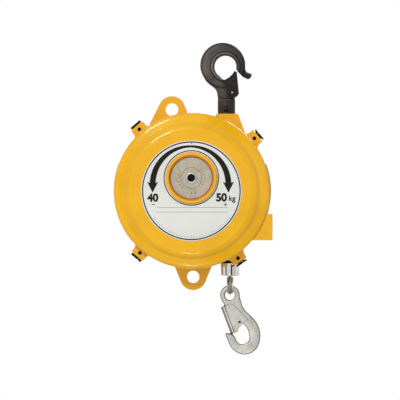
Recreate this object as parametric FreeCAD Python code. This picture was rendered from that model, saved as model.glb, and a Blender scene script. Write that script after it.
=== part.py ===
import FreeCAD, Part
import math
import os

# Millimetres. X runs to the right, Z up, and -Y faces the front.
# The origin is the saddle of the suspension hook, on its swivel axis.

# Housing, sized round the spring case, whose axis lies above the case's centre
case_x = -50.0
boss_top_z = -88.0
spring_case_radius = 86.0
axis_rise = 19.0
case_clearance = 6.0
wall = 5.0
case_radius = spring_case_radius + axis_rise + case_clearance + wall
case_z = boss_top_z - case_radius
axis_z = case_z + axis_rise
parting_y = -26.0
face_y = -78.0
rear_y = 70.0
face_margin = 16.0
face_radius = case_radius - face_margin
face_rounding = 11.5
face_turn = 60.0
shoulder_y = -62.0
rear_rounding = 12.0
label_margin = 25.5
label_radius = face_radius - label_margin
label_gap = 0.5
label_thickness = 0.8
boss_radius = 37.8
label_hole = boss_radius + label_gap
boss_height = 7.0
boss_bevel = 1.2
well_bevel = 2.4
well_depth = 4.5
rear_boss_radius = 27.0
rear_groove_margin = 32.0
rear_groove_radius = case_radius - rear_groove_margin
rear_groove_width = 3.0
rear_groove_depth = 1.5
rear_boss_y = 76.0

# Lugs, rim pads and ears, with angles about the case centre
lug_angles = (130.7, 40.2, 229.8, 304.2)
lug_height = 12.0
lug_reach = case_radius + lug_height
lug_width = 22.5
lug_front_y = -42.0
lug_rear_y = -16.0
screw_offset = 5.5
screw_circle = case_radius + screw_offset
screw_radius = 2.0
screw_head_radius = 2.9
screw_head_height = 3.0
screw_head_depth = 0.6
pad_height = 1.6
pad_radius = case_radius + pad_height
pad_depth = 18.0
left_pad = (159.0, 220.0)
right_pad = (-18.0, 20.0)
bumper_length = 18.0
bumper_thickness = 2.4
bumper_stand_off = 1.5
ear_thickness = 14.0
top_ear_x = -32.1
top_ear_rise = 6.7
top_ear_z = case_radius + top_ear_rise
top_ear_hole = 9.7
bottom_ear_rise = 13.6
bottom_ear_z = -case_radius - bottom_ear_rise
bottom_ear_hole = 9.4
ear_rim = 10.4

# Suspension hook, its stem and its latch
eye_radius = 16.5
eye_x = -1.5
hook_radius = 34.0
hook_x = -5.5
hook_z = -14.4
hook_thickness = 20.0
hook_edge = 4.0
collar_z = -64.7
boss_height_z = 24.0
boss_bottom_z = boss_top_z - boss_height_z
boss_depth = 40.0
stem_radius = 13.2
shank_radius = 10.0
tenon_radius = 8.0
stem_pin_z = -80.9
stem_pin_radius = 3.0
nut_height = 9.0
nut_radius = 15.0
latch_sheet = 1.5
latch_pivot_x = 9.3
latch_pivot_z = -56.0
latch_pin_radius = 2.5

# Winding shaft, worm wheel and worm
shaft_radius = 12.0
shaft_collar_radius = 17.0
bush_radius = 16.0
tooth_module = 2.5
wheel_teeth = 48
wheel_width = 14.0
wheel_y = -48.0
worm_pitch_radius = 13.0
worm_turns = 5
worm_shaft_radius = 7.0
worm_bush_radius = 10.0
worm_block_stand_off = 4.0
worm_block_reach = case_radius + worm_block_stand_off
worm_block_half = 19.6
worm_block_depth = 23.5
backlash = 0.6
key_width = 6.0
disc_radius = 31.2
disc_thickness = 3.6

# Rope drum, spring case and mainspring
rope_diameter = 4.8
first_turn = 55.5
turn_growth = 2.6
turn_pitch = 6.0
turn_count = 5
drum_front_y = -10.0
drum_rear_y = 33.0
front_flange = 64.0
flange_lip = 2.0
rear_flange = spring_case_radius + flange_lip
spring_case_wall = 4.0
spring_case_rear_y = 62.0
arbor_radius = 18.0
spring_sheet = 2.0
spring_turns = 5
spring_width = 19.0

# Rope end, thimble and load hook
guide_radius = 12.0
guide_rise = 11.0
guide_length = 23.0
guide_bottom_z = case_z - case_radius + guide_rise
guide_top_z = guide_bottom_z + guide_length
sleeve_radius = 14.35
sleeve_drop = 3.0
sleeve_length = 20.0
sleeve_top_z = guide_bottom_z - sleeve_drop
sleeve_bottom_z = sleeve_top_z - sleeve_length
hang_x = case_x + first_turn - 0.1
hang_drop = 29.0
hang_z = sleeve_bottom_z - hang_drop
load_eye_hole = 7.5
load_eye_rim = 14.7
load_hook_thickness = 11.0
load_hook_edge = 1.5
load_hook_tilt = 15.1
load_pivot_x = 3.6
load_pivot_z = -42.6
load_pin_radius = 2.0
load_sheet = 1.2
thimble_wall = 1.8
ferrule_radius = 7.3

# Fits
running = 0.05
light_gap = 0.3

rope_x = case_x + first_turn
rope_radius = rope_diameter / 2
worm_z = axis_z - wheel_teeth * tooth_module / 2 - worm_pitch_radius
worm_lead = math.pi * tooth_module
nut_bottom = boss_bottom_z - 2.1 - nut_height
ferrule_top_z = sleeve_top_z - 8
load_hook_low = hang_z - load_eye_hole
loop_radius = load_eye_hole + thimble_wall + rope_radius
loop_z = hang_z + load_eye_hole - light_gap + loop_radius - rope_radius - thimble_wall


def point(x, y, z):
    return FreeCAD.Vector(x, y, z)


def drawn(place, start, steps):
    """Face on the plane that place() maps to: a step of two numbers is a line, of four an arc by its middle."""
    first = place(*start)
    here = first
    edges = []
    for step in steps:
        there = place(*step[-2:])
        if len(step) == 4:
            edges.append(Part.Arc(here, place(*step[:2]), there).toShape())
        else:
            edges.append(Part.makeLine(here, there))
        here = there
    if here.distanceToPoint(first) > 0.001:
        edges.append(Part.makeLine(here, first))
    return Part.Face(Part.Wire(edges))


def plate(y0, y1, start, *steps):
    """Plate with its outline in X and Z, from y0 back to y1."""
    face = drawn(lambda x, z: point(x, y0, z), start, steps)
    return face.extrude(point(0, y1 - y0, 0))


def bevelled_plate(half, bevel, start, *steps):
    """Plate of half the thickness each side of Y zero, with a bevel round both faces."""
    edge = half - bevel
    outline = drawn(lambda x, z: point(x, -edge, z), start, steps)
    rim = outline.OuterWire
    face = outline.makeOffset2D(-bevel, 2, False, False, False).OuterWire
    face.translate(point(0, -bevel, 0))
    front = Part.makeLoft([rim, face], True, True)
    back = front.mirror(point(0, 0, 0), point(0, 1, 0))
    return outline.extrude(point(0, 2 * edge, 0)).fuse([front, back])


def lathe(x, z, start, *steps):
    """Turned body about the Y axis through x and z, drawn as radius and y."""
    face = drawn(lambda r, y: point(x + r, y, z), start, steps)
    return face.revolve(point(x, 0, z), point(0, 1, 0), 360)


def pillar(x, y, start, *steps):
    """Turned body about the Z axis through x and y, drawn as radius and z."""
    face = drawn(lambda r, z: point(x + r, y, z), start, steps)
    return face.revolve(point(x, y, 0), point(0, 0, 1), 360)


def disc(x, z, radius, y0, y1):
    return Part.makeCylinder(radius, y1 - y0, point(x, y0, z), point(0, 1, 0))


def post(x, y, radius, z0, z1):
    return Part.makeCylinder(radius, z1 - z0, point(x, y, z0), point(0, 0, 1))


def bar(y, z, radius, x0, x1):
    return Part.makeCylinder(radius, x1 - x0, point(x0, y, z), point(1, 0, 0))


def block(x0, x1, y0, y1, z0, z1):
    return Part.makeBox(x1 - x0, y1 - y0, z1 - z0, point(x0, y0, z0))


def ring(x, z, inner, outer, y0, y1):
    return disc(x, z, outer, y0, y1).cut(disc(x, z, inner, y0 - 1, y1 + 1))


def turned(shape, angle, x=case_x, z=case_z):
    """Copy turned by an angle from +X towards +Z about the Y axis through x and z."""
    copy = shape.copy()
    copy.rotate(point(x, 0, z), point(0, -1, 0), angle)
    return copy


def prism(x, z, radius, sides, y0, y1):
    """Prism along Y, with its corners at the radius."""
    corners = []
    for number in range(sides):
        angle = 2 * math.pi * number / sides
        corners.append((x + radius * math.cos(angle), z + radius * math.sin(angle)))
    return plate(y0, y1, corners[0], *corners[1:])


def all_of(solids):
    return Part.makeCompound(solids)


def lug(y0, y1):
    """Square corner lug at zero degrees, with a filleted root and a screw hole."""
    half = lug_width / 2
    root = math.sqrt(case_radius ** 2 - (half + 4) ** 2)
    body = plate(
        y0, y1, (case_x + case_radius - wall, case_z - half),
        (case_x + root, case_z - half - 4),
        (case_x + root + 3, case_z - half - 1, case_x + root + 6, case_z - half),
        (case_x + lug_reach - 2, case_z - half),
        (case_x + lug_reach - 0.6, case_z - half + 0.6, case_x + lug_reach, case_z - half + 2),
        (case_x + lug_reach, case_z + half - 2),
        (case_x + lug_reach - 0.6, case_z + half - 0.6, case_x + lug_reach - 2, case_z + half),
        (case_x + root + 6, case_z + half),
        (case_x + root + 3, case_z + half + 1, case_x + root, case_z + half + 4),
        (case_x + case_radius - wall, case_z + half))
    return body.cut(disc(case_x + screw_circle, case_z, screw_radius + running, y0 - 1, y1 + 1))


def rim_pad(span, y0, y1):
    """Raised stretch of the rim between two angles."""
    ring_part = ring(case_x, case_z, case_radius - wall + 1, pad_radius, y0, y1)
    first, last = span
    middle = (first + last) / 2
    reach = 2 * pad_radius

    def corner(angle):
        turn = math.radians(angle)
        return case_x + reach * math.cos(turn), case_z + reach * math.sin(turn)

    sector = plate(y0 - 1, y1 + 1, (case_x, case_z), corner(first), corner(middle), corner(last))
    return ring_part.common(sector)


def ear(hole_x, hole_z, hole_radius, left, right):
    """Hanging ear: a round end with straight flanks down to the rim, left and right as x and z."""
    rim = hole_radius + ear_rim
    centre = FreeCAD.Vector(case_x + hole_x, 0, case_z + hole_z)
    sides = []
    for (x, z), turn in ((left, 1), (right, -1)):
        base = FreeCAD.Vector(case_x + x, 0, case_z + z)
        reach = (base - centre).Length
        toward = math.atan2(base.z - centre.z, base.x - centre.x)
        angle = toward - turn * math.acos(rim / reach)
        sides.append((base, angle))
    (left_base, left_angle), (right_base, right_angle) = sides
    span = (left_angle - right_angle) % (2 * math.pi)
    middle = right_angle + span / 2

    def rim_point(angle):
        return centre.x + rim * math.cos(angle), centre.z + rim * math.sin(angle)

    inside = (case_radius - 2) / math.hypot(hole_x, hole_z)
    body = plate(
        -ear_thickness / 2, ear_thickness / 2, (left_base.x, left_base.z),
        rim_point(left_angle),
        rim_point(middle) + rim_point(right_angle),
        (right_base.x, right_base.z),
        (case_x + hole_x * inside * 0.97, case_z + hole_z * inside * 0.97))
    hole = disc(centre.x, centre.z, hole_radius, -ear_thickness, ear_thickness)
    return body.cut(hole)


def rear_case():
    inner = case_radius - wall
    bend = rear_rounding * 0.29
    shell = lathe(
        case_x, case_z, (inner, parting_y), (case_radius, parting_y),
        (case_radius, rear_y - rear_rounding),
        (case_radius - bend, rear_y - bend, case_radius - rear_rounding, rear_y),
        (0, rear_y), (0, rear_y - wall), (inner - rear_rounding, rear_y - wall),
        (inner - bend, rear_y - wall - bend, inner, rear_y - wall - rear_rounding))
    groove_inner = rear_groove_radius - rear_groove_width
    shell = shell.cut(ring(case_x, case_z, groove_inner, rear_groove_radius, rear_y - rear_groove_depth, rear_y + 1))
    body = shell.fuse(disc(case_x, axis_z, rear_boss_radius, rear_y - wall, rear_boss_y))
    for angle in lug_angles:
        body = body.fuse(turned(lug(parting_y, lug_rear_y), angle))
    for span in (left_pad, right_pad):
        body = body.fuse(rim_pad(span, parting_y, parting_y + pad_depth))
    left = (-69.5, case_radius - 23.0)
    right = (-7.7, case_radius - 0.5)
    low = 5.0 - case_radius
    body = body.fuse(ear(top_ear_x, top_ear_z, top_ear_hole, left, right))
    body = body.fuse(ear(0, bottom_ear_z, bottom_ear_hole, (29.0, low), (-29.0, low)))
    shoulder = plate(
        -boss_depth / 2, boss_depth / 2, (case_x + 28, boss_top_z - 7),
        (case_x + 33.8, boss_top_z - 3.4, case_x + 35, boss_top_z - 1.5),
        (case_x + 35.4, boss_top_z - 0.4, case_x + 36.5, boss_top_z),
        (case_x + 66.4, boss_top_z), (case_x + 68.4, boss_top_z - 1.6),
        (case_x + 78.6, boss_top_z - 30.2), (case_x + 74, boss_top_z - 34),
        (case_x + 60, boss_top_z - 21), (case_x + 40, boss_top_z - 12))
    seat = block(-17, 17, -17, 17, boss_bottom_z, boss_top_z - 8)
    body = body.fuse(shoulder).fuse(seat)
    body = body.cut(post(0, 0, shank_radius + running, boss_bottom_z - 1, boss_top_z + 1))
    body = body.cut(post(0, 0, nut_radius + 1, nut_bottom - 4, boss_bottom_z))
    socket = post(rope_x, 0, guide_radius + 5, guide_bottom_z + 2, guide_top_z + 1)
    body = body.fuse(socket)
    body = body.cut(post(rope_x, 0, guide_radius, guide_bottom_z - 20, guide_top_z + 2))
    body = body.cut(post(rope_x, 0, sleeve_radius + 2, guide_bottom_z - 20, guide_bottom_z + 2))
    body = body.cut(disc(case_x, axis_z, bush_radius, rear_y - wall - 1, rear_boss_y + 1))
    body = body.cut(ring(case_x, case_z, inner + 1.6, inner + 3.4, parting_y - 1, parting_y + 1.4))
    return body.removeSplitter()


def front_cover():
    inner = case_radius - wall
    turn = math.radians(face_turn)
    flat = face_radius - face_rounding * math.sin(turn)
    middle = flat + face_rounding * math.sin(turn / 2)
    middle_y = face_y + face_rounding * (1 - math.cos(turn / 2))
    edge_y = face_y + face_rounding * (1 - math.cos(turn))
    shell = lathe(
        case_x, case_z, (0, face_y), (flat, face_y), (middle, middle_y, face_radius, edge_y),
        (face_radius + 1.4, edge_y + 1.7, face_radius + 3.6, edge_y + 2.6),
        (case_radius - 6, shoulder_y - 4), (case_radius - 1.2, shoulder_y - 1.6, case_radius, shoulder_y + 3),
        (case_radius, parting_y), (inner, parting_y), (inner, shoulder_y + 3), (inner - 4, shoulder_y),
        (face_radius, edge_y + wall + 1), (flat + 3, face_y + wall + 0.6), (flat - 1, face_y + wall),
        (0, face_y + wall))
    boss_y = face_y - boss_height
    boss = lathe(
        case_x, axis_z, (0, boss_y), (boss_radius - boss_bevel, boss_y), (boss_radius, boss_y + boss_bevel),
        (boss_radius, face_y), (0, face_y))
    body = shell.fuse(boss)
    body = body.fuse(disc(case_x, axis_z, bush_radius + 8, face_y + wall - 1, face_y + 17))
    seat = disc(
        case_x + screw_circle, case_z, screw_head_radius + running, lug_front_y - 1,
        lug_front_y + screw_head_depth + screw_head_height)
    for angle in lug_angles:
        body = body.fuse(turned(lug(lug_front_y, parting_y), angle)).cut(turned(seat, angle))
    for span in (left_pad, right_pad):
        body = body.fuse(rim_pad(span, parting_y - pad_depth, parting_y))
    half = worm_block_depth / 2
    outboard = block(
        case_x + worm_block_reach - 36, case_x + worm_block_reach, wheel_y - half, wheel_y + half,
        worm_z - worm_block_half, worm_z + worm_block_half)
    body = body.fuse(outboard)
    for x in (case_x - 41, case_x + 30):
        stand = block(x, x + 11, face_y + wall - 1, wheel_y, worm_z - 15, worm_z + 15)
        body = body.fuse(stand).fuse(bar(wheel_y, worm_z, 15, x, x + 11))
    body = body.cut(bar(wheel_y, worm_z, worm_bush_radius, case_x - 42, case_x + worm_block_reach + 24))
    pocket = disc(case_x, axis_z, disc_radius + light_gap, face_y - boss_height - 1, face_y + 2)
    body = body.cut(pocket)
    well_radius = disc_radius + light_gap
    body = body.cut(lathe(
        case_x, axis_z, (0, boss_y - 1), (well_radius + well_bevel, boss_y - 1), (well_radius + well_bevel, boss_y),
        (well_radius, boss_y + well_depth), (0, boss_y + well_depth)))
    body = body.cut(disc(case_x, axis_z, bush_radius, face_y, face_y + 20))
    return body.removeSplitter()


def cover_seal():
    inner = case_radius - wall
    return ring(case_x, case_z, inner + 1.6, inner + 3.4, parting_y, parting_y + 1.4)


def lug_screw():
    """Socket screw sunk in the front lug, at zero degrees."""
    x = case_x + screw_circle
    top = lug_front_y + screw_head_depth
    head = disc(x, case_z, screw_head_radius, top, top + screw_head_height)
    head = head.cut(prism(x, case_z, 1.7, 6, top - 1, top + 1.8))
    return head.fuse(disc(x, case_z, screw_radius, top + screw_head_height, lug_rear_y + 1.5))


def cover_screws():
    return all_of([turned(lug_screw(), angle) for angle in lug_angles])


def bumper(split):
    """Rubber buffer on a lug's outer face at zero degrees: a web with one or two bars on it."""
    half = bumper_length / 2
    start = case_x + lug_reach
    front = lug_front_y + 2
    back = lug_rear_y - 2
    body = block(start, start + bumper_stand_off, front, back, case_z - half + 3, case_z + half - 3)
    face = start + bumper_stand_off
    if split:
        joint = case_z + half / 3
        body = body.fuse(block(face, face + bumper_thickness, front, back, case_z - half, joint - 0.5))
        body = body.fuse(block(face, face + bumper_thickness, front, back, joint + 0.5, case_z + half))
    else:
        body = body.fuse(block(face, face + bumper_thickness, front, back, case_z - half, case_z + half))
    return body


def corner_bumpers():
    solids = []
    for angle in lug_angles:
        solids.append(turned(bumper(angle != lug_angles[0]), angle))
    return all_of(solids)


def label_plate():
    plain = disc(case_x, case_z, label_radius, face_y - label_thickness, face_y)
    return plain.cut(disc(case_x, axis_z, label_hole, face_y - 2, face_y + 1))


def front_bush():
    return ring(case_x, axis_z, shaft_radius + running, bush_radius, face_y + 3, face_y + 17)


def rear_bush():
    return ring(case_x, axis_z, shaft_radius + running, bush_radius, rear_y - wall, rear_boss_y - 1)


def rear_cap():
    plain = disc(case_x, axis_z, rear_boss_radius, rear_boss_y, rear_boss_y + 3)
    return plain.fuse(disc(case_x, axis_z, bush_radius - 1, rear_boss_y + 3, rear_boss_y + 5))


def rear_cap_screws():
    screw = disc(case_x + rear_boss_radius - 5.5, axis_z, 3.2, rear_boss_y + 3, rear_boss_y + 5.5)
    return all_of([turned(screw, angle, case_x, axis_z) for angle in (90, 210, 330)])


def rope_guide():
    bore = rope_radius + 0.8
    return pillar(
        rope_x, 0, (bore + 4, guide_top_z), (guide_radius, guide_top_z),
        (guide_radius, guide_bottom_z + 2), (guide_radius + 3, guide_bottom_z + 2),
        (guide_radius + 3, guide_bottom_z), (bore + 3, guide_bottom_z),
        (bore + 0.8, guide_bottom_z + 2, bore, guide_bottom_z + 6),
        (bore, guide_top_z - 6), (bore + 1, guide_top_z - 2.5, bore + 4, guide_top_z))


def guide_ring():
    """Snap ring that keeps the rope guide in the case from inside."""
    outer = post(rope_x, 0, guide_radius + 3, guide_top_z + 1, guide_top_z + 2.2)
    cut = post(rope_x, 0, guide_radius - 3, guide_top_z, guide_top_z + 3)
    return outer.cut(cut)


def worm_bushes():
    outboard = case_x + worm_block_reach - 8
    solids = []
    for x0, x1 in ((case_x - 41, case_x - 30), (case_x + 30, case_x + 41), (outboard - 20, outboard)):
        outer = bar(wheel_y, worm_z, worm_bush_radius, x0, x1)
        solids.append(outer.cut(bar(wheel_y, worm_z, worm_shaft_radius + running, x0 - 1, x1 + 1)))
    return all_of(solids)


def main_shaft():
    front = face_y - disc_thickness + 1.7
    body = lathe(
        case_x, axis_z, (0, front), (8, front), (8, face_y + 1.8), (shaft_radius, face_y + 2.2),
        (shaft_radius, wheel_y + wheel_width / 2 + 3), (shaft_collar_radius, wheel_y + wheel_width / 2 + 3),
        (shaft_collar_radius, drum_front_y - 2), (shaft_radius, drum_front_y - 2),
        (shaft_radius, rear_boss_y - 1), (0, rear_boss_y - 1))
    slot = block(
        case_x - key_width / 2, case_x + key_width / 2, wheel_y - wheel_width / 2, wheel_y + wheel_width / 2,
        axis_z + shaft_radius - 3, axis_z + shaft_radius + 3)
    body = body.cut(slot)
    return body.cut(prism(case_x, axis_z, 5.5, 6, front - 1, front + 7))


def wheel_key():
    return block(
        case_x - key_width / 2, case_x + key_width / 2, wheel_y - wheel_width / 2, wheel_y + wheel_width / 2,
        axis_z + shaft_radius - 3, axis_z + shaft_radius + 2.6)


def worm_wheel():
    """Helical wheel: each gap is a tapered slot that leans with the worm's lead."""
    pitch_radius = wheel_teeth * tooth_module / 2
    tip = pitch_radius + tooth_module * 0.9
    root = pitch_radius - tooth_module * 1.25
    y0 = wheel_y - wheel_width / 2
    y1 = wheel_y + wheel_width / 2
    body = disc(case_x, axis_z, tip, y0, y1)
    body = body.cut(ring(case_x, axis_z, shaft_radius + 9, root - 8, y0 - 1, y0 + 4))
    body = body.cut(ring(case_x, axis_z, shaft_radius + 9, root - 8, y1 - 4, y1 + 1))
    lead_angle = math.degrees(math.atan(worm_lead / (2 * math.pi * worm_pitch_radius)))
    at_pitch = math.pi * tooth_module / 2 + backlash
    slope = math.tan(math.radians(20))
    bottom = at_pitch / 2 - (pitch_radius - root) * slope
    top = at_pitch / 2 + (tip + 1 - pitch_radius) * slope
    gap = plate(
        y0 - 3, y1 + 3, (case_x - top, axis_z - tip - 1), (case_x + top, axis_z - tip - 1),
        (case_x + bottom, axis_z - root), (case_x - bottom, axis_z - root))
    gap.rotate(point(case_x, wheel_y, axis_z), point(0, 0, 1), lead_angle)
    gaps = []
    for number in range(wheel_teeth):
        gaps.append(turned(gap, number * 360 / wheel_teeth, case_x, axis_z))
    body = body.cut(gaps)
    body = body.cut(disc(case_x, axis_z, shaft_radius, y0 - 1, y1 + 1))
    hub_slot = block(
        case_x - key_width / 2, case_x + key_width / 2, y0 - 1, y1 + 1,
        axis_z, axis_z + shaft_radius + 2.6)
    return body.cut(hub_slot)


def indicator_disc():
    """Dial on the shaft's front end, with a raised ring and a stepped hub round the key opening."""
    front = face_y - disc_thickness + 1.7
    plain = lathe(
        case_x, axis_z, (8, front), (8.8, front), (8.8, front + 0.7), (15, front + 0.7), (15.6, front + 1.3),
        (disc_radius - 0.8, front + 1.3), (disc_radius, front + 2.1), (disc_radius, face_y + 1.8),
        (8, face_y + 1.8))
    return plain


def worm():
    """Worm and its shaft, with a hexagon socket in the outboard end."""
    core = worm_pitch_radius - tooth_module * 1.2
    half = worm_lead * worm_turns / 2
    end = case_x + worm_block_reach - 4
    body = bar(wheel_y, worm_z, worm_shaft_radius, case_x - 40, end)
    body = body.fuse(bar(wheel_y, worm_z, core, case_x - half - 4, case_x + half + 4))
    at_pitch = math.pi * tooth_module / 2 - backlash
    slope = math.tan(math.radians(20))
    root_half = at_pitch / 2 + (worm_pitch_radius - core) * slope
    tip_half = at_pitch / 2 - tooth_module * slope
    tip = worm_pitch_radius + tooth_module
    helix = Part.makeHelix(worm_lead, worm_lead * worm_turns, core)
    profile = Part.makePolygon([
        point(core - 0.4, 0, -root_half - 0.1), point(tip, 0, -tip_half),
        point(tip, 0, tip_half), point(core - 0.4, 0, root_half + 0.1),
        point(core - 0.4, 0, -root_half - 0.1)])
    thread = Part.Wire(helix).makePipeShell([profile], True, True)
    thread.translate(point(0, 0, -half))
    thread.rotate(point(0, 0, 0), point(0, 1, 0), 90)
    thread.translate(point(case_x, wheel_y, worm_z))
    body = body.fuse(thread)
    socket = []
    for number in range(6):
        angle = math.radians(60 * number)
        socket.append(point(end + 1, wheel_y + 4.6 * math.cos(angle), worm_z + 4.6 * math.sin(angle)))
    socket.append(socket[0])
    return body.cut(Part.Face(Part.makePolygon(socket)).extrude(point(-9, 0, 0)))


def turn_radius(number):
    return first_turn + turn_growth * number


def rope_drum():
    """Drum with a cone of rope grooves, so that the spring's rising pull is levelled out."""
    steps = [(bush_radius, drum_front_y), (front_flange, drum_front_y), (front_flange, drum_front_y + 4)]
    seat = rope_radius + light_gap
    for number in range(turn_count):
        y = turn_pitch * number
        radius = turn_radius(number)
        steps.append((radius - 0.4, y - seat))
        steps.append((radius - seat, y - seat * 0.45))
        steps.append((radius - seat, y + seat * 0.45))
        steps.append((radius - 0.4, y + seat))
    steps.append((rear_flange, turn_pitch * (turn_count - 1) + seat + 0.6))
    steps.append((rear_flange, drum_rear_y))
    steps.append((turn_radius(turn_count - 1) - 9, drum_rear_y))
    steps.append((turn_radius(0) - 9, 4))
    steps.append((bush_radius + 6, 4))
    steps.append((bush_radius + 6, drum_rear_y))
    steps.append((bush_radius, drum_rear_y))
    body = lathe(case_x, axis_z, steps[0], *steps[1:])
    return body.cut(drum_rivets())


def wound_rope():
    """The rope's turns on the drum, as rings of hexagon section in the grooves."""
    turns = []
    for number in range(turn_count):
        corners = []
        for side in range(6):
            angle = math.radians(60 * side + 30)
            corners.append((
                turn_radius(number) + rope_radius * math.cos(angle),
                turn_pitch * number + rope_radius * math.sin(angle)))
        turns.append(lathe(case_x, axis_z, corners[0], *corners[1:]))
    return all_of(turns)


def drum_rivets():
    """Flush rivets that join the spring case to the drum's rear flange."""
    rivet = disc(case_x + rear_flange - 12, axis_z, 3, drum_rear_y - 3.5, drum_rear_y + 3)
    return all_of([turned(rivet, 60 * number, case_x, axis_z) for number in range(6)])


def drum_bushes():
    solids = []
    for y0, y1 in ((drum_front_y, drum_front_y + 14), (drum_rear_y - 14, drum_rear_y)):
        solids.append(ring(case_x, axis_z, shaft_radius + running, bush_radius, y0, y1))
    return all_of(solids)


def thrust_washers():
    """Washers on the shaft before and behind the drum."""
    front = ring(case_x, axis_z, shaft_radius, bush_radius + 5, drum_front_y - 2, drum_front_y - 0.1)
    rear = ring(case_x, axis_z, shaft_radius, bush_radius + 5, drum_rear_y + 0.1, drum_rear_y + 2)
    return all_of([front, rear])


def spring_case():
    """Cup behind the drum that holds the mainspring."""
    inner = spring_case_radius - spring_case_wall
    body = lathe(
        case_x, axis_z, (bush_radius + 8, drum_rear_y), (spring_case_radius, drum_rear_y),
        (spring_case_radius, spring_case_rear_y - 4), (inner, spring_case_rear_y - 4),
        (inner, drum_rear_y + 3), (bush_radius + 8, drum_rear_y + 3))
    return body.cut(drum_rivets())


def spring_case_lid():
    return lathe(
        case_x, axis_z, (arbor_radius + 2, spring_case_rear_y - 4), (spring_case_radius, spring_case_rear_y - 4),
        (spring_case_radius, spring_case_rear_y - 2), (spring_case_radius - 2, spring_case_rear_y),
        (arbor_radius + 2, spring_case_rear_y))


def spring_arbor():
    return ring(case_x, axis_z, shaft_radius, arbor_radius, drum_rear_y + 2, spring_case_rear_y - 1)


def mainspring():
    """Flat spiral of half circles, from just off the arbor to the wall of its case."""
    outer = spring_case_radius - spring_case_wall
    pitch = (outer - arbor_radius - light_gap - spring_sheet) / spring_turns
    radius = arbor_radius + light_gap + spring_sheet / 2 + pitch / 4
    middle = (drum_rear_y + 3 + spring_case_rear_y - 4) / 2
    y0 = middle - spring_width / 2
    shift = -pitch / 4
    outside = []
    inside = []
    for number in range(2 * spring_turns):
        side = 1 if number % 2 == 0 else -1
        centre = case_x + shift * side
        for edges, offset in ((outside, spring_sheet / 2), (inside, -spring_sheet / 2)):
            reach = radius + offset
            start = point(centre + side * reach, y0, axis_z)
            middle_point = point(centre, y0, axis_z + side * reach)
            end = point(centre - side * reach, y0, axis_z)
            edges.append(Part.Arc(start, middle_point, end).toShape())
        radius += pitch / 2
    first = Part.makeLine(inside[0].Vertexes[0].Point, outside[0].Vertexes[0].Point)
    last = Part.makeLine(outside[-1].Vertexes[-1].Point, inside[-1].Vertexes[-1].Point)
    face = Part.Face(Part.Wire([first] + outside + [last] + inside[::-1]))
    return face.extrude(point(0, spring_width, 0))


def rope_run():
    """Straight rope from just under the drum's first turn down to the ferrule."""
    near = first_turn - rope_radius
    far = first_turn + rope_radius + light_gap
    top = axis_z - math.sqrt(far ** 2 - near ** 2)
    return post(rope_x, 0, rope_radius, ferrule_top_z, top)


def stop_cushion():
    """Rubber ring that meets the rope guide when the rope is wound up."""
    ring_part = post(rope_x, 0, sleeve_radius - 3.4, sleeve_top_z - 5, guide_bottom_z - light_gap)
    return ring_part.cut(post(rope_x, 0, rope_radius, sleeve_top_z - 6, guide_bottom_z))


def stop_sleeve():
    """Chrome sleeve: a cup for the cushion above and a socket for the ferrule below."""
    return pillar(
        rope_x, 0, (sleeve_radius - 3.4, sleeve_top_z), (sleeve_radius - 1, sleeve_top_z),
        (sleeve_radius, sleeve_top_z - 1), (sleeve_radius, sleeve_bottom_z + 2.5),
        (sleeve_radius - 0.7, sleeve_bottom_z + 0.7, sleeve_radius - 2.5, sleeve_bottom_z),
        (ferrule_radius, sleeve_bottom_z), (ferrule_radius, ferrule_top_z), (rope_radius, ferrule_top_z),
        (rope_radius, sleeve_top_z - 5), (sleeve_radius - 3.4, sleeve_top_z - 5))


def loop(leg, start, *steps):
    """Rope loop or thimble in the Y-Z plane: a bend about the X axis with two legs of the given length."""
    height = sleeve_bottom_z + 0.5 - loop_z
    reach = math.hypot(height, rope_radius)
    angle = math.atan2(height, rope_radius) - math.acos(loop_radius / reach)
    face = drawn(
        lambda x, r: point(rope_x + x, r * math.cos(angle), loop_z + r * math.sin(angle)), start, steps)
    bend = face.revolve(point(rope_x, 0, loop_z), point(1, 0, 0), -180 - 2 * math.degrees(angle))
    length = math.sqrt(reach ** 2 - loop_radius ** 2) if leg is None else leg
    right = face.extrude(point(0, -math.sin(angle) * length, math.cos(angle) * length))
    left = right.mirror(point(rope_x, 0, 0), point(0, 1, 0))
    return bend.fuse([right, left])


def thimble():
    """Grooved liner inside the rope loop, with a crowned face that the load hook's eye rests on."""
    inner = loop_radius - rope_radius - thimble_wall
    side = rope_radius + 2.2
    crown = load_eye_hole - math.sqrt(load_eye_hole ** 2 - side ** 2)
    body = loop(
        5, (-side, inner + crown), (0, inner, side, inner + crown), (side, loop_radius + 0.6),
        (side - 1, loop_radius + 0.6), (rope_radius, loop_radius), (0, loop_radius - rope_radius, -rope_radius, loop_radius),
        (-side + 1, loop_radius + 0.6), (-side, loop_radius + 0.6))
    return body


def rope_eye():
    """The rope's end loop round the thimble, with both legs going up into the ferrule."""
    body = loop(
        None, (rope_radius, loop_radius), (0, loop_radius + rope_radius, -rope_radius, loop_radius),
        (0, loop_radius - rope_radius, rope_radius, loop_radius))
    return body.common(block(
        rope_x - 20, rope_x + 20, -40, 40, load_hook_low, sleeve_bottom_z))


def rope_ferrule():
    """Pressed sleeve on the rope's two legs."""
    return post(rope_x, 0, ferrule_radius, sleeve_bottom_z, ferrule_top_z)


def load_hook_outline(x, z):
    """Point of the load hook, given in the hook's own hanging frame about the eye."""
    return hang_x + x, hang_z + z


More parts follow.
